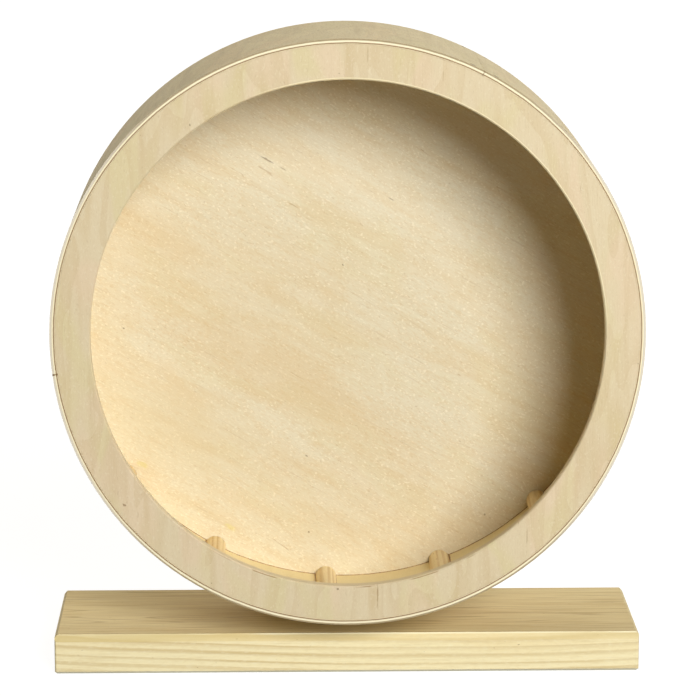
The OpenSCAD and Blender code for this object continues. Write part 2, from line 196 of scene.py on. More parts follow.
# Beads of dried glue, each with its points along the way, half width and half height.
# Two stand in from the drum's inner face, and the seams' one stops short of the band's cut edges
Bead = namedtuple("Bead", "steps half_width half_height")
DISC_BEAD = Bead(720, 0.15 * MM, 0.28 * MM)
RUNG_BEAD = Bead(40, 0.32 * MM, 0.3 * MM)
SEAM_BEAD = Bead(60, 0.14 * MM, 0.38 * (DRUM_OUT_R - DRUM_IN_R))
DISC_BEAD_IN = 0.05 * MM
RUNG_BEAD_IN = 0.15 * MM
SEAM_BEAD_SHORT = 0.3 * MM
BEAD_CORNERS = 8
LUMP_SIZE = 9 * MM
LUMP_SWELL = (0.55, 1.25)


def rgb(red, green, blue):
    """A colour written as 0 to 255 in sRGB, as the shader wants it."""
    parts = [c / 255 for c in (red, green, blue)]
    return (*[p / 12.92 if p < 0.04045 else ((p + 0.055) / 1.055) ** 2.4 for p in parts], 1)


def palette(**colours):
    """Named colours, each written as 0 to 255 in sRGB."""
    return {name: rgb(*colour) for name, colour in colours.items()}


def round_the_axle(angle):
    """The direction out from the axle at an angle counted up from +X."""
    return Vector((math.cos(angle), 0, math.sin(angle)))


def add_node(tree, kind, inputs=None, **settings):
    """A shader node. Each input is a value or another node's output."""
    made = tree.nodes.new("ShaderNode" + kind)
    for name, value in settings.items():
        setattr(made, name, value)
    for key, value in (inputs or {}).items():
        if isinstance(value, bpy.types.NodeSocket):
            tree.links.new(value, made.inputs[key])
        else:
            made.inputs[key].default_value = value
    return made


def math_node(tree, operation, first, second=0.0, third=0.0):
    """The result of one operation on numbers."""
    return add_node(tree, "Math", {0: first, 1: second, 2: third}, operation=operation).outputs[0]


def vector_node(tree, operation, first, second=(0, 0, 0)):
    """The result of one operation on vectors: a number for a length or dot product, otherwise a vector."""
    made = add_node(tree, "VectorMath", {0: first, 1: second}, operation=operation)
    return made.outputs["Value" if operation in ("LENGTH", "DOT_PRODUCT") else "Vector"]


def mask(tree, value, low, high, strength=1.0):
    """Zero up to low, full strength from high, and smooth between them. Low may be above high."""
    inputs = {"Value": value, "From Min": low, "From Max": high, "To Min": 0.0, "To Max": strength}
    return add_node(tree, "MapRange", inputs, interpolation_type="SMOOTHSTEP").outputs["Result"]


def both(tree, first, second):
    """Two masks multiplied."""
    return math_node(tree, "MULTIPLY", first, second)


def band_of(tree, value, low, high, soft):
    """A mask that is full between two values, with soft ends."""
    rise = mask(tree, value, low - soft, low + soft)
    fall = mask(tree, value, high + soft, high - soft)
    return both(tree, rise, fall)


def tint(tree, under, over, amount):
    """One colour laid over another, where the mask is more than zero."""
    return add_node(tree, "Mix", {0: amount, 6: under, 7: over}, data_type="RGBA").outputs[2]


def layered(tree, colour, colours, *layers):
    """A colour with some of the named colours laid over it in turn, each through its own mask."""
    for name, amount in layers:
        colour = tint(tree, colour, colours[name], amount)
    return colour


def place(tree):
    """A point's place on the object at rest, which rides with the object."""
    return add_node(tree, "TexCoord").outputs["Object"]


def from_mouth(tree):
    """The way to a point from the middle of the drum's mouth."""
    return vector_node(tree, "SUBTRACT", place(tree), AXLE)


def reach(tree, direction):
    """How far a point lies along a direction, from the middle of the drum's mouth."""
    return vector_node(tree, "DOT_PRODUCT", from_mouth(tree), direction)


def from_axle(tree):
    """Distance of a point from the axle's line."""
    return vector_node(tree, "LENGTH", vector_node(tree, "MULTIPLY", from_mouth(tree), ACROSS_AXLE))


def facing(tree, direction):
    """How far a surface faces along a direction of the object itself, from -1 to 1."""
    return vector_node(tree, "DOT_PRODUCT", add_node(tree, "TexCoord").outputs["Normal"], direction)


def blots(tree, grain, length, width, detail, seed, wavy=0.0):
    """Noise drawn out along the grain, in blots of about this length and width in millimetres.

    Detail adds finer noise to them, wavy bends them, and each seed gives other blots.
    """
    laid = add_node(tree, "Mapping", {
        "Vector": place(tree),
        "Location": (seed, 0.7 * seed, 0.3 * seed),
        "Rotation": grain,
        "Scale": (length * MM, width * MM, width * MM),
    }, vector_type="TEXTURE").outputs[0]
    inputs = {"Vector": laid, "Scale": 1.0, "Detail": detail, "Distortion": wavy}
    return add_node(tree, "TexNoise", inputs).outputs[0]


def figure(tree, grain, length, width, steps, seed):
    """The curl of a peeled veneer: soft bands that each end in a crisp wavy edge, from 0 to 1."""
    wave = blots(tree, grain, length, width, detail=1.0, seed=seed, wavy=0.9)
    return math_node(tree, "FRACT", both(tree, wave, steps))


def mark(tree, grain, middle, length, width, strength):
    """A single mark with frayed ends, at a place beside and above the axle. All sizes are in millimetres."""
    laid = add_node(tree, "Mapping", {
        "Vector": place(tree),
        "Location": (middle[0] * MM, 0, AXLE.z + middle[1] * MM),
        "Rotation": grain,
        "Scale": (length / 2 * MM, 1, width / 2 * MM),
    }, vector_type="TEXTURE").outputs[0]
    flat = vector_node(tree, "LENGTH", vector_node(tree, "MULTIPLY", laid, ACROSS_AXLE))
    fray = blots(tree, grain, 3, 0.8, detail=1.0, seed=0.77)
    frayed = math_node(tree, "MULTIPLY_ADD", fray, 1.4, flat)
    return mask(tree, frayed, 1.7, 1.0, strength)


def marked(tree, colour, over, grain, marks, where=1.0):
    """A colour with single marks of another colour on it, where a mask lets them show."""
    for single in marks:
        colour = tint(tree, colour, over, both(tree, where, mark(tree, grain, *single)))
    return colour


def new_material(name, roughness, **sockets):
    """A material with its shader, whose sockets are set to plain values."""
    material = bpy.data.materials.new(name)
    material.use_nodes = True
    tree = material.node_tree
    shader = tree.nodes["Principled BSDF"]
    shader.inputs["Roughness"].default_value = roughness
    for socket, value in sockets.items():
        shader.inputs[socket.replace("_", " ")].default_value = value
    return material, tree, shader


def set_gloss(tree, shader, pattern, amount):
    """Roughness that rises and falls by the amount with a pattern of 0 to 1, about its plain value."""
    socket = shader.inputs["Roughness"]
    level = math_node(tree, "MULTIPLY_ADD", pattern, 2 * amount, socket.default_value - amount)
    tree.links.new(level, socket)


def set_relief(tree, shader, height, depth_mm):
    """Fine relief from a height of 0 to 1."""
    bump = add_node(tree, "Bump", {"Strength": 1.0, "Distance": depth_mm * MM, "Height": height})
    tree.links.new(bump.outputs["Normal"], shader.inputs["Normal"])


def set_finish(tree, shader, colour, pattern, gloss, relief_mm):
    """A shader's colour, with gloss and fine relief that follow one pattern."""
    tree.links.new(colour, shader.inputs["Base Color"])
    set_gloss(tree, shader, pattern, gloss)
    set_relief(tree, shader, pattern, relief_mm)


def veneer(tree, grain, colours, seed, patchy, curly, streaky, specked):
    """Colour and relief of a sanded veneer: soft patches of hue, figure, streaks, specks and pores.

    The last four numbers say how strongly each of these shows.
    """
    rosy = blots(tree, grain, 70, 26, detail=1.0, seed=seed, wavy=0.8)
    olive = blots(tree, grain, 52, 20, detail=1.5, seed=seed + 0.31, wavy=0.8)
    curl = figure(tree, grain, 75, 20, steps=4.0, seed=seed + 0.43)
    streak = blots(tree, grain, 80, 7, detail=1.5, seed=seed + 0.47, wavy=0.3)
    fibre = blots(tree, grain, 8, 0.7, detail=2.0, seed=seed + 0.59, wavy=0.5)
    speck = blots(tree, grain, 2.2, 0.9, detail=1.0, seed=seed + 0.67, wavy=0.8)
    glint = blots(tree, grain, 1.4, 0.8, detail=0.0, seed=seed + 0.73, wavy=0.6)
    pore = blots(tree, grain, 1.6, 0.7, detail=1.0, seed=seed + 0.83, wavy=0.8)
    scar = blots(tree, grain, 11, 1.2, detail=0.0, seed=seed + 0.91, wavy=1.2)
    knot = blots(tree, grain, 3.2, 2.4, detail=0.0, seed=seed + 0.97)
    colour = layered(
        tree, colours["base"], colours,
        ("rosy", mask(tree, rosy, 0.48, 0.62, patchy)),
        ("olive", mask(tree, olive, 0.48, 0.66, patchy)),
        ("dark", mask(tree, curl, 0.2, 1.0, curly)),
        ("dark", mask(tree, streak, 0.5, 0.72, 0.5 * patchy)),
        ("dark", mask(tree, fibre, 0.45, 0.8, streaky)),
        ("dark", mask(tree, speck, 0.5, 0.7, 0.28 * specked)),
        ("light", mask(tree, glint, 0.6, 0.78, 0.5 * specked)),
        ("pore", mask(tree, pore, 0.62, 0.78, 0.3 * specked)),
        ("pore", mask(tree, scar, 0.84, 0.88, 0.5)),
        ("knot", mask(tree, knot, 0.88, 0.91, 0.6)),
    )
    height = math_node(tree, "SUBTRACT", fibre, both(tree, mask(tree, pore, 0.62, 0.78), 0.6))
    return colour, height


def ring_edges(tree, colour, colours):
    """The ring's cut edges and darker back, and at its mouth a pale painted highlight on the arris where
    light falls, and a thin, broken dark line.
    """
    radius = from_axle(tree)
    front = mask(tree, facing(tree, FRONT), 0.3, 0.6)
    back = mask(tree, facing(tree, BACK), 0.6, 0.8)
    cut = mask(tree, math_node(tree, "ADD", front, back), 0.5, 0.1)
    # Painted highlight: a pale line on the mouth's arris, only on the side that faces the light
    arris = mask(tree, radius, *RING_ARRIS)
    lit = mask(tree, reach(tree, ARRIS_LIT_FROM), *ARRIS_LIT_PAST, strength=0.9)
    # A thin dark line low down on the mouth's edge, broken up by blots
    line = band_of(tree, radius, *RING_CHIPS, soft=RING_CHIPS_SOFT)
    low = mask(tree, reach(tree, DOWN), *CHIPPED_BELOW)
    chips = mask(tree, blots(tree, ALONG_X, 14, 14, detail=1.0, seed=0.37), 0.46, 0.54, 0.75)
    return layered(
        tree, colour, colours,
        ("cut", both(tree, cut, 0.8)),
        ("back", both(tree, back, 0.85)),
        ("arris", both(tree, both(tree, arris, front), lit)),
        ("chipped", both(tree, both(tree, line, front), both(tree, low, chips))),
    )


def ring_material():
    """The front ring: birch ply, its grain upright, its cut edge paler, with a painted highlight on the
    mouth's arris where light falls on it.

    The face turned to the inside of the drum is the sheet's darker back veneer.
    """
    material, tree, shader = new_material("birch_ply", 0.62, Specular_IOR_Level=0.25)
    # The arris colour is a painted highlight
    colours = palette(
        base=(224, 207, 171), rosy=(228, 206, 172), olive=(221, 206, 160), dark=(208, 184, 140),
        light=(238, 226, 198), pore=(172, 142, 100), knot=(126, 96, 60),
        cut=(236, 220, 184), back=(214, 174, 112), arris=(255, 240, 196), chipped=(158, 120, 74),
    )
    colour, height = veneer(
        tree, ALONG_Z, colours, seed=0.11, patchy=0.8, curly=0.32, streaky=0.15, specked=0.55,
    )
    colour = marked(tree, colour, colours["pore"], ALONG_Z, RING_STREAKS)
    colour = ring_edges(tree, colour, colours)
    set_finish(tree, shader, colour, height, gloss=0.12, relief_mm=0.09)
    return material


def disc_material():
    """The back disc: poplar ply, its faint grain falling to the right.

    Broad tones, clouds and fine scratches cover it. Its front has two stains and a few dark marks.
    """
    material, tree, shader = new_material("poplar_ply", 0.66, Specular_IOR_Level=0.2)
    colours = palette(
        base=(228, 218, 189), rosy=(228, 214, 181), olive=(226, 215, 179), dark=(216, 192, 144),
        light=(247, 237, 211), pore=(184, 154, 108), knot=(126, 96, 60),
        broad_dark=(222, 197, 148), broad_light=(238, 227, 200), warm_patch=(218, 190, 140),
        grey_patch=(220, 204, 164), cloud_dark=(222, 197, 150), cloud_light=(234, 226, 200),
        stain=(222, 208, 130),
    )
    colour, height = veneer(
        tree, ALONG_DISC, colours, seed=0.53, patchy=0.6, curly=0.12, streaky=0.35, specked=1.2,
    )
    broad = blots(tree, ALONG_DISC, 220, 40, detail=2.0, seed=0.21, wavy=0.4)
    cloud = blots(tree, ALONG_DISC, 30, 11, detail=2.0, seed=0.41, wavy=0.8)
    scratch = blots(tree, ALONG_DISC, 17, 0.6, detail=0.0, seed=0.07, wavy=0.5)
    colour = layered(
        tree, colour, colours,
        ("broad_dark", mask(tree, broad, 0.48, 0.7, 0.22)),
        ("broad_light", mask(tree, broad, 0.46, 0.3, 0.24)),
        ("warm_patch", mark(tree, ALONG_DISC, *DISC_WARM_PATCH)),
        ("grey_patch", mark(tree, ALONG_DISC, *DISC_GREY_PATCH)),
        ("cloud_dark", mask(tree, cloud, 0.5, 0.66, 0.16)),
        ("cloud_light", mask(tree, cloud, 0.5, 0.34, 0.16)),
        ("pore", mask(tree, scratch, 0.74, 0.88, 0.22)),
    )
    front = mask(tree, facing(tree, FRONT), 0.5, 0.8)
    colour = marked(tree, colour, colours["stain"], ALONG_DISC, DISC_STAINS, front)
    colour = marked(tree, colour, colours["knot"], ALONG_DISC, DISC_STREAKS, front)
    set_finish(tree, shader, colour, height, gloss=0.1, relief_mm=0.1)
    return material


def seams(tree):
    """Masks over both butt seams of the band, and over the bruised wood round the brads at its front."""
    seam, bruise = 0.0, 0.0
    depth = math_node(tree, "SUBTRACT", reach(tree, BACK), BRAD_DEPTH)
    for angle, darkness in zip(SEAM_ANGLES_DEG, SEAM_DARKNESS):
        turn = math.radians(angle)
        aside = math_node(tree, "ABSOLUTE", reach(tree, (-math.sin(turn), 0, math.cos(turn))))
        this_side = mask(tree, reach(tree, round_the_axle(turn)), 0, SEAM_HALF_ROUND)
        line = mask(tree, aside, SEAM_HALF_W, SEAM_HALF_W / 2, darkness)
        seam = math_node(tree, "MAXIMUM", seam, both(tree, line, this_side))
        along = math_node(tree, "SUBTRACT", aside, BRAD_ASIDE)
        to_brad = add_node(tree, "CombineXYZ", {0: along, 1: depth}).outputs[0]
        spot = mask(tree, vector_node(tree, "LENGTH", to_brad), *BRAD_BRUISE)
        bruise = math_node(tree, "MAXIMUM", bruise, both(tree, spot, this_side))
    return seam, bruise


def band_edge(tree, colours, seam):
    """The band's cut edge: a dark glue line, a pale core, an outer ply with painted shade at the top and the
    bottom, and a tick at each seam.
    """
    waver = both(tree, blots(tree, ALONG_Y, 9, 9, detail=2.0, seed=0.61), PLY_WAVER)
    depth = math_node(tree, "ADD", math_node(tree, "SUBTRACT", from_axle(tree), DRUM_IN_R), waver)
    upright = math_node(tree, "ABSOLUTE", reach(tree, UP))
    core_end = math_node(tree, "ADD", mask(tree, upright, *CORE_MORE_PAST, strength=CORE_MORE), CORE_END)
    past_core = math_node(tree, "SUBTRACT", depth, core_end)
    core = both(tree, mask(tree, depth, *CORE_START), mask(tree, past_core, CORE_END_SOFT, -CORE_END_SOFT))
    glue_line = band_of(tree, depth, *PLY_GLUE_LINE, soft=PLY_GLUE_SOFT)
    edge = layered(tree, colours["inner_ply"], colours, ("core", core), ("glue_line", glue_line))
    # Painted shade: the outer ply darker at the top and the bottom of the drum
    outer = tint(tree, colours["outer_ply"], colours["outer_dark"], mask(tree, upright, *OUTER_DARK_PAST))
    edge = tint(tree, edge, outer, mask(tree, past_core, 0.0, CORE_MORE))
    closed = math_node(tree, "MULTIPLY_ADD", core, -0.45, 0.95)
    return tint(tree, edge, colours["seam"], both(tree, seam, closed))


def band_material():
    """The bent band: paler inside the drum, with plies in its cut edges and bruises round its brads."""
    material, tree, shader = new_material("band_ply", 0.6, Specular_IOR_Level=0.25)
    # The outer ply's darker colour is painted shade
    colours = palette(
        base=(240, 224, 181), rosy=(240, 219, 175), olive=(232, 218, 171), dark=(206, 186, 144),
        light=(240, 230, 200), pore=(180, 154, 114), knot=(126, 96, 60),
        inside=(247, 229, 176), inner_ply=(226, 208, 170), core=(255, 246, 210), glue_line=(128, 92, 52),
        outer_ply=(224, 214, 192), outer_dark=(172, 154, 118), seam=(110, 82, 48), bruise=(130, 104, 70),
    )
    colour, height = veneer(
        tree, ALONG_Y, colours, seed=0.29, patchy=0.7, curly=0.2, streaky=0.3, specked=1.2,
    )
    inside = mask(tree, from_axle(tree), *BAND_INSIDE, strength=0.75)
    cut = mask(tree, math_node(tree, "ABSOLUTE", facing(tree, BACK)), 0.6, 0.8)
    seam, bruise = seams(tree)
    colour = layered(tree, colour, colours, ("inside", inside), ("bruise", both(tree, bruise, 0.8)))
    colour = tint(tree, colour, band_edge(tree, colours, seam), cut)
    set_finish(tree, shader, colour, height, gloss=0.12, relief_mm=0.06)
    return material


def growth(tree, grain, pith, spacing, bow, lean, seed):
    """How far through its growth ring a point lies, from 0 to 1, for a log along the grain.

    The pith lies at a place in the object. The log leans, and bows by bow times the way along it squared.
    """
    inputs = {"Vector": place(tree), "Location": pith, "Rotation": grain}
    laid = add_node(tree, "Mapping", inputs, vector_type="TEXTURE").outputs[0]
    along, across, up = add_node(tree, "SeparateXYZ", {0: laid}).outputs
    rise = math_node(tree, "MULTIPLY_ADD", both(tree, along, along), bow, both(tree, along, lean))
    wander = math_node(tree, "SUBTRACT", blots(tree, grain, 170, 60, detail=1.0, seed=seed), 0.5)
    up = math_node(tree, "MULTIPLY_ADD", wander, YEAR_WANDER, math_node(tree, "SUBTRACT", up, rise))
    from_pith = vector_node(tree, "LENGTH", add_node(tree, "CombineXYZ", {1: across, 2: up}).outputs[0])
    rings = math_node(tree, "DIVIDE", from_pith, spacing)
    inputs = {"W": both(tree, rings, YEAR_CHANGE), "Scale": 1.0}
    years = add_node(tree, "TexNoise", inputs, noise_dimensions="1D").outputs[0]
    rings = math_node(tree, "MULTIPLY_ADD", years, YEAR_UNEVEN, rings)
    ragged = math_node(tree, "SUBTRACT", blots(tree, grain, 14, 0.9, detail=2.0, seed=seed + 0.13), 0.5)
    return math_node(tree, "FRACT", math_node(tree, "MULTIPLY_ADD", ragged, YEAR_RAGGED, rings))


def late_wood(tree, grain, year, broad, seed):
    """The dark end of each year, uneven along the board and fainter on its broad face."""
    late = both(tree, mask(tree, year, 0.3, 0.75), mask(tree, year, 1.0, 0.82))
    uneven = mask(tree, blots(tree, grain, 120, 14, detail=1.0, seed=seed), 0.3, 0.7, 0.36)
    late = both(tree, late, math_node(tree, "ADD", uneven, 0.44))
    return both(tree, late, math_node(tree, "MULTIPLY_ADD", broad, -0.6, 1.0))


def hair_lines(tree, grain, seed):
    """Thin broken lines that wind along the board."""
    swirl = blots(tree, grain, 260, 16, detail=0.0, seed=seed + 0.53)
    swirl = math_node(tree, "FRACT", both(tree, swirl, 11.0))
    from_line = math_node(tree, "ABSOLUTE", math_node(tree, "SUBTRACT", swirl, 0.5))
    broken = mask(tree, blots(tree, grain, 60, 5, detail=1.0, seed=seed + 0.61), 0.42, 0.6)
    return both(tree, mask(tree, from_line, 0.13, 0.02, 0.55), broken)


def softwood(tree, grain, grain_line, broad_face, year, colours, seed):
    """Colour and relief of a planed softwood board, pale wood with a darker line at the end of each year.

    The lines are faint on the broad face, where the saw ran along them, and close up on the cut ends.
    """
    broad = mask(tree, facing(tree, broad_face), 0.6, 0.9)
    end = math_node(tree, "ABSOLUTE", facing(tree, grain_line))
    late = late_wood(tree, grain, year, broad, seed)
    warm = blots(tree, grain, 130, 18, detail=1.5, seed=seed + 0.17)
    streak = blots(tree, grain, 150, 9, detail=1.0, seed=seed + 0.29, wavy=0.2)
    fibre = blots(tree, grain, 22, 1.0, detail=2.0, seed=seed + 0.23)
    fleck = blots(tree, grain, 3, 0.9, detail=1.0, seed=seed + 0.37)
    pit = blots(tree, grain, 2.4, 0.8, detail=0.0, seed=seed + 0.41)
    colour = layered(
        tree, colours["early"], colours,
        ("warm", mask(tree, warm, 0.45, 0.68, 0.7)),
        ("late", late),
        ("late", both(tree, mask(tree, streak, 0.5, 0.72, 0.5), broad)),
        ("pit", both(tree, hair_lines(tree, grain, seed), broad)),
        ("late", mask(tree, fibre, 0.48, 0.75, 0.25)),
        ("light", mask(tree, fleck, 0.55, 0.72, 0.2)),
        ("late", mask(tree, fleck, 0.46, 0.3, 0.12)),
        ("pit", mask(tree, pit, 0.82, 0.86, 0.6)),
        ("late", mask(tree, end, 0.45, 0.95, 0.5)),
    )
    height = math_node(tree, "ADD", both(tree, late, 0.7), both(tree, fibre, 0.8))
    return colour, height


def pine_material(name, grain, grain_line, broad_face, pith, bow, lean, seed, dress):
    """Pine board. The pith's place and bow set the figure on its faces, and dress adds marks of its own."""
    material, tree, shader = new_material(name, 0.62, Specular_IOR_Level=0.2)
    colours = palette(
        early=(251, 237, 190), warm=(247, 228, 176), late=(214, 189, 134),
        light=(255, 247, 214), pit=(150, 116, 68),
    )
    year = growth(tree, grain, pith, PINE_YEAR, bow, lean, seed)
    colour, height = softwood(tree, grain, grain_line, broad_face, year, colours, seed)
    set_finish(tree, shader, dress(tree, colour), height, gloss=0.08, relief_mm=0.1)
    return material


def dress_plank(tree, colour):
    """The base plank's stranded top, darker partly as painted shade; painted shade on its eased edge, with a
    painted highlight along the arris; and its foot painted pale, as painted light.
    """
    # The eased edge's colour is painted shade, the arris's a painted highlight, the foot's painted light,
    # and the top's partly painted shade
    colours = palette(
        planed=(221, 200, 140), top=(222, 196, 138), strand_dark=(186, 156, 102),
        strand_light=(252, 236, 190), strip=(196, 168, 112), arris=(255, 246, 206), foot=(255, 250, 222),
    )
    x, y, z = add_node(tree, "SeparateXYZ", {0: place(tree)}).outputs
    # The top is darker, partly for a flat-sawn face's deeper tone and partly as painted shade
    top = mask(tree, facing(tree, UP), 0.9, 0.99)
    # Painted shade over the eased edge; the next lines make it uneven and stronger towards the left
    planed = mask(tree, facing(tree, EASED_EDGE), 0.97, 0.99)
    # Painted light: the foot, which faces down, is painted pale
    foot = mask(tree, facing(tree, EASED_FOOT), 0.95, 0.99, 0.9)
    uneven = mask(tree, blots(tree, ALONG_X, 60, 8, detail=2.0, seed=0.71), 0.35, 0.65, 0.35)
    uneven = math_node(tree, "ADD", uneven, mask(tree, x, *EASED_DARK_X, strength=0.25))
    strand = blots(tree, ALONG_X, 36, 1.5, detail=2.0, seed=0.19, wavy=0.2)
    # Painted highlight along the arris, broken up and fading towards the left
    worn = mask(tree, blots(tree, ALONG_X, 90, 20, detail=1.0, seed=0.33), 0.36, 0.48, 0.9)
    worn = both(tree, worn, math_node(tree, "ADD", mask(tree, x, *ARRIS_WORN_X, strength=0.8), 0.2))
    arris = both(tree, mask(tree, z, *PLANK_ARRIS), planed)
    return layered(
        tree, colour, colours,
        ("planed", both(tree, planed, math_node(tree, "ADD", uneven, 0.35))),
        ("top", both(tree, top, 0.5)),
        ("strand_dark", both(tree, top, mask(tree, strand, 0.5, 0.72, 0.4))),
        ("strand_light", both(tree, top, mask(tree, strand, 0.46, 0.26, 0.38))),
        ("strip", both(tree, mask(tree, y, *PLANK_STRIP), both(tree, top, 0.5))),
        ("arris", both(tree, arris, worn)),
        ("foot", foot),
    )


def dress_upright(tree, colour):
    """The upright's eased edges: darker, and rubbed pale in places."""
    colours = palette(eased=(226, 198, 142), rubbed=(255, 244, 206))
    across = math_node(tree, "ABSOLUTE", facing(tree, BACK))
    eased = band_of(tree, across, 0.35, 0.93, soft=0.04)
    worn = mask(tree, blots(tree, ALONG_Z, 40, 14, detail=2.0, seed=0.47), 0.36, 0.6)
    return layered(
        tree, colour, colours,
        ("eased", both(tree, eased, 0.5)),
        ("rubbed", both(tree, both(tree, eased, worn), 0.7)),
    )


def rung_material():
    """The half-round rungs: one stick of softwood cut up, so that each rung shows other lines."""
    material, tree, shader = new_material("rung_wood", 0.5, Specular_IOR_Level=0.35)
    colours = palette(
        early=(246, 226, 178), warm=(242, 216, 162), late=(212, 178, 122),
        light=(252, 238, 200), pit=(150, 110, 64),
    )
    seed = 0.77
    year = growth(tree, ALONG_Y, (0.11, 0.0, 0.03), RUNG_YEAR, bow=0.6, lean=0.01, seed=seed)
    colour, height = softwood(tree, ALONG_Y, BACK, RIGHT, year, colours, seed)
    set_finish(tree, shader, colour, height, gloss=0.1, relief_mm=0.08)
    return material


def beech_material():
    """The hub block: beech, with its small brown ray flecks."""
    material, tree, shader = new_material("beech", 0.55, Specular_IOR_Level=0.35)
    colours = palette(pale=(235, 208, 168), patch=(226, 194, 150), fibre=(206, 168, 124), ray=(168, 122, 82))
    patch = blots(tree, ALONG_X, 80, 14, detail=1.5, seed=0.43)
    fibre = blots(tree, ALONG_X, 14, 0.6, detail=2.0, seed=0.57)
    ray = blots(tree, ALONG_X, 2.6, 0.5, detail=0.0, seed=0.67)
    colour = layered(
        tree, colours["pale"], colours,
        ("patch", mask(tree, patch, 0.42, 0.66, 0.9)),
        ("fibre", mask(tree, fibre, 0.45, 0.8, 0.5)),
        ("ray", mask(tree, ray, 0.68, 0.76, 0.8)),
    )
    set_finish(tree, shader, colour, fibre, gloss=0.12, relief_mm=0.08)
    return material


def metal_material(name):
    """A metal with soft stains in its colour and gloss, and fine marks of turning round the axle."""
    clean, dull, roughness, pitch_mm = METALS[name]
    material, tree, shader = new_material(name, roughness, Metallic=1.0)
    stain = blots(tree, ALONG_X, 4, 4, detail=3.0, seed=0.19)
    colour = tint(tree, rgb(*clean), rgb(*dull), mask(tree, stain, 0.4, 0.7, 0.8))
    tree.links.new(colour, shader.inputs["Base Color"])
    set_gloss(tree, shader, stain, 0.12)
    groove = math_node(tree, "SINE", both(tree, from_axle(tree), 2 * math.pi / (pitch_mm * MM)))
    set_relief(tree, shader, math_node(tree, "ADD", groove, both(tree, stain, 0.6)), TURNING_DEPTH_MM)
    return material


def nylon_material():
    """The lock nut's insert: white nylon, a little cloudy."""
    material, tree, shader = new_material("nylon", 0.42, Subsurface_Weight=0.15)
    shader.inputs["Subsurface Radius"].default_value = (MM, MM, MM)
    cloud = blots(tree, ALONG_X, 3, 3, detail=2.0, seed=0.87)
    colour = tint(tree, rgb(236, 236, 230), rgb(220, 220, 212), mask(tree, cloud, 0.4, 0.65))
    set_finish(tree, shader, colour, cloud, gloss=0.1, relief_mm=0.02)
    return material


def glue_material():
    """Dried wood glue, amber and a little glossy, with paler dusty places."""
    material, tree, shader = new_material("dried_glue", 0.38)
    dust = blots(tree, ALONG_X, 2, 2, detail=2.0, seed=0.35)
    colour = tint(tree, rgb(150, 108, 60), rgb(190, 152, 98), mask(tree, dust, 0.4, 0.7))
    set_finish(tree, shader, colour, dust, gloss=0.15, relief_mm=0.05)
    return material


def lumpy(point, size, low, high):
    """A number between low and high that changes smoothly from place to place."""
    level = noise.noise(point / size) / 2 + 0.5
    return low + (high - low) * min(1.0, max(0.0, level))


def add_bead(vertices, faces, bead, path, sides, outs, closed):
    """A bead of glue swept along a path, its width along each point's side and its height along its out."""
    first = len(vertices)
    for point, side, out in zip(path, sides, outs):
        swell = lumpy(point, LUMP_SIZE, *LUMP_SWELL)
        for i in range(BEAD_CORNERS):
            turn = 2 * math.pi * i / BEAD_CORNERS
            vertices.append(point + side * bead.half_width * swell * math.cos(turn)
                            + out * bead.half_height * swell * math.sin(turn))
    count = len(path)
    for step in range(count if closed else count - 1):
        here = first + step * BEAD_CORNERS
        there = first + (step + 1) % count * BEAD_CORNERS
        for i in range(BEAD_CORNERS):
            j = (i + 1) % BEAD_CORNERS
            faces.append((here + i, here + j, there + j, there + i))
    if not closed:
        last = first + (count - 1) * BEAD_CORNERS
        faces.append(tuple(first + i for i in reversed(range(BEAD_CORNERS))))
        faces.append(tuple(last + i for i in range(BEAD_CORNERS)))


def add_straight_bead(vertices, faces, bead, angle, radius, start, end):
    """A bead along the drum, at an angle and a radius round the axle, from one depth to another."""
    out = round_the_axle(angle)
    side = Vector((-out.z, 0, out.x))
    foot = Vector((0, 0, AXLE.z)) + out * radius
    path = [foot + Vector((0, start + (end - start) * i / (bead.steps - 1), 0)) for i in range(bead.steps)]
    add_bead(vertices, faces, bead, path, [side] * bead.steps, [out] * bead.steps, closed=False)


def add_piece(name, vertices, faces, material, body):
    """A smooth mesh that rides on a body."""
    mesh = bpy.data.meshes.new(name)
    mesh.from_pydata([tuple(v) for v in vertices], [], faces)
    mesh.shade_smooth()
    mesh.materials.append(material)
    piece = bpy.data.objects.new(name, mesh)
    bpy.context.scene.collection.objects.link(piece)
    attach(piece, body)


def make_disc_glue(material):
    """The bead where the back disc meets the band, seen as a thin brown line round the back of the drum."""
    vertices, faces = [], []
    steps = DISC_BEAD.steps
    middle = Vector((0, DISC_FRONT, AXLE.z))
    outs = [round_the_axle(2 * math.pi * i / steps) for i in range(steps)]
    path = [middle + out * (DRUM_IN_R - DISC_BEAD_IN) for out in outs]
    add_bead(vertices, faces, DISC_BEAD, path, [Vector(BACK)] * steps, outs, closed=True)
    add_piece("disc_glue", vertices, faces, material, "wheel")


def make_rung_glue(material):
    """The glue pressed out along both long edges of every rung."""
    vertices, faces = [], []
    radius = DRUM_IN_R - RUNG_BEAD_IN
    half_angle = RUNG_HALF_W / DRUM_IN_R
    for number in range(1, RUNG_COUNT + 1):
        low, high = (Vector(c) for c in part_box(f"rung_{number:02d}"))
        middle = (low + high) / 2
        angle = math.atan2(middle.z - AXLE.z, middle.x)
        for edge in (angle - half_angle, angle + half_angle):
            add_straight_bead(vertices, faces, RUNG_BEAD, edge, radius, low.y, high.y)
    add_piece("rung_glue", vertices, faces, material, "wheel")


def make_seam_glue(material):
    """The glue in both butt seams of the band, a little below its faces."""
    vertices, faces = [], []
    low, high = (Vector(c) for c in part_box("long_band"))
    radius = (DRUM_IN_R + DRUM_OUT_R) / 2
    start, end = low.y + SEAM_BEAD_SHORT, high.y - SEAM_BEAD_SHORT
    for angle in SEAM_ANGLES_DEG:
        add_straight_bead(vertices, faces, SEAM_BEAD, math.radians(angle), radius, start, end)
    add_piece("seam_glue", vertices, faces, material, "wheel")


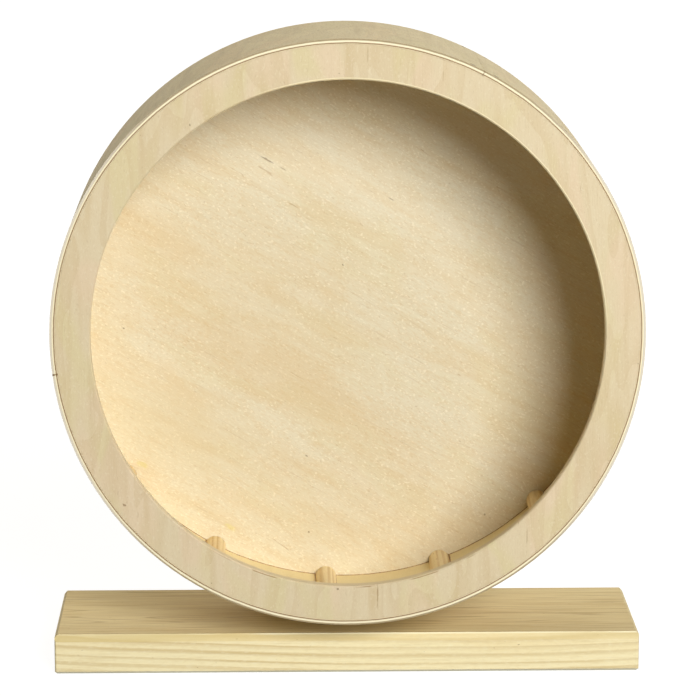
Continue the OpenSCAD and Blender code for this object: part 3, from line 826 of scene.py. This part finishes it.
def make_camera():
    """A camera in front of the mouth, turned a little to the right and down."""
    data = bpy.data.cameras.new("camera")
    data.sensor_width = SENSOR_MM
    data.lens = SENSOR_MM * FOCAL_PX / IMAGE_PX
    camera = bpy.data.objects.new("camera", data)
    camera.location = AXLE + CAMERA_FROM_MOUTH
    camera.rotation_euler = Euler((math.radians(90 - CAMERA_PITCH_DEG), 0, -math.radians(CAMERA_YAW_DEG)))
    bpy.context.scene.collection.objects.link(camera)
    bpy.context.scene.camera = camera


def make_key_light():
    """A round soft lamp that looks at the middle of the mouth."""
    data = bpy.data.lights.new("key", "AREA")
    data.shape = "DISK"
    data.energy = KEY_WATTS
    data.size = KEY_SIZE
    lamp = bpy.data.objects.new("key", data)
    lamp.location = AXLE + KEY_DIRECTION.normalized() * KEY_DISTANCE
    lamp.rotation_euler = KEY_DIRECTION.to_track_quat("Z", "Y").to_euler()
    bpy.context.scene.collection.objects.link(lamp)


def seen_directly(tree):
    """One where the camera, a reflection or a glass looks, zero where light is only gathered."""
    path = add_node(tree, "LightPath").outputs
    seen = math_node(tree, "MAXIMUM", path["Is Camera Ray"], path["Is Glossy Ray"])
    return math_node(tree, "MAXIMUM", seen, path["Is Transmission Ray"])


def make_world():
    """Soft light from behind the object, and a white background."""
    world = bpy.data.worlds.new("world")
    bpy.context.scene.world = world
    world.use_nodes = True
    tree = world.node_tree
    light = tree.nodes["Background"]
    light.inputs["Color"].default_value = WORLD_COLOUR
    looking = add_node(tree, "TexCoord").outputs["Generated"]
    towards = vector_node(tree, "DOT_PRODUCT", looking, WORLD_BRIGHT_FROM)
    tree.links.new(mask(tree, towards, *WORLD_FADE, strength=WORLD_BRIGHT), light.inputs["Strength"])
    white = add_node(tree, "Background", {"Color": WHITE, "Strength": 1.0})
    mixed = add_node(tree, "MixShader", {0: seen_directly(tree), 1: light.outputs[0], 2: white.outputs[0]})
    tree.links.new(mixed.outputs[0], tree.nodes["World Output"].inputs["Surface"])


def make_floor():
    """A pale floor that keeps the object's shadow and turns white away from it."""
    half = FLOOR_SIZE / 2
    corners = [(-half, -half, 0), (half, -half, 0), (half, half, 0), (-half, half, 0)]
    mesh = bpy.data.meshes.new("floor")
    mesh.from_pydata(corners, [], [(0, 1, 2, 3)])
    floor = bpy.data.objects.new("floor", mesh)
    bpy.context.scene.collection.objects.link(floor)
    material = bpy.data.materials.new("floor")
    material.use_nodes = True
    tree = material.node_tree
    tree.nodes.remove(tree.nodes["Principled BSDF"])
    away = vector_node(tree, "LENGTH", place(tree))
    glow = mask(tree, away, *FLOOR_FADE, strength=FLOOR_GLOW_FAR - FLOOR_GLOW_NEAR)
    glow = both(tree, math_node(tree, "ADD", glow, FLOOR_GLOW_NEAR), seen_directly(tree))
    matt = add_node(tree, "BsdfDiffuse", {"Color": FLOOR_COLOUR})
    lit = add_node(tree, "Emission", {"Color": WHITE, "Strength": glow})
    added = add_node(tree, "AddShader", {0: matt.outputs[0], 1: lit.outputs[0]})
    tree.links.new(added.outputs[0], tree.nodes["Material Output"].inputs["Surface"])
    mesh.materials.append(material)


def dress_nodes(materials):
    """Gives every node of the model its finished material, by the node's own name or the record's slot."""
    for part in frame["record"]["subparts"]:
        finish = materials.get(part["node"]) or materials[part["material_slot"]]
        for material_slot in frame["nodes"][part["node"]].material_slots:
            material_slot.material = finish


make_camera()
make_key_light()
make_world()
make_floor()

dress_nodes({
    "birch_ply": ring_material(),
    "poplar_ply": disc_material(),
    "band_ply": band_material(),
    "rung_wood": rung_material(),
    "base_plank": pine_material(
        "base_pine", ALONG_X, RIGHT, UP, pith=(0.045, -0.012, -0.060), bow=0.17, lean=0, seed=0.5,
        dress=dress_plank,
    ),
    "upright_board": pine_material(
        "upright_pine", ALONG_Z, UP, BACK, pith=(0.012, 0.12, 0.15), bow=0.3, lean=0.01, seed=0.9,
        dress=dress_upright,
    ),
    "beech": beech_material(),
    "zinc_steel": metal_material("zinc_steel"),
    "band_brads": metal_material("brad_steel"),
    "bearing_steel": metal_material("bearing_steel"),
    "cage_brass": metal_material("cage_brass"),
    "nylon": nylon_material(),
})
glue = glue_material()
make_disc_glue(glue)
make_rung_glue(glue)
make_seam_glue(glue)

bpy.context.scene.view_settings.view_transform = "Standard"
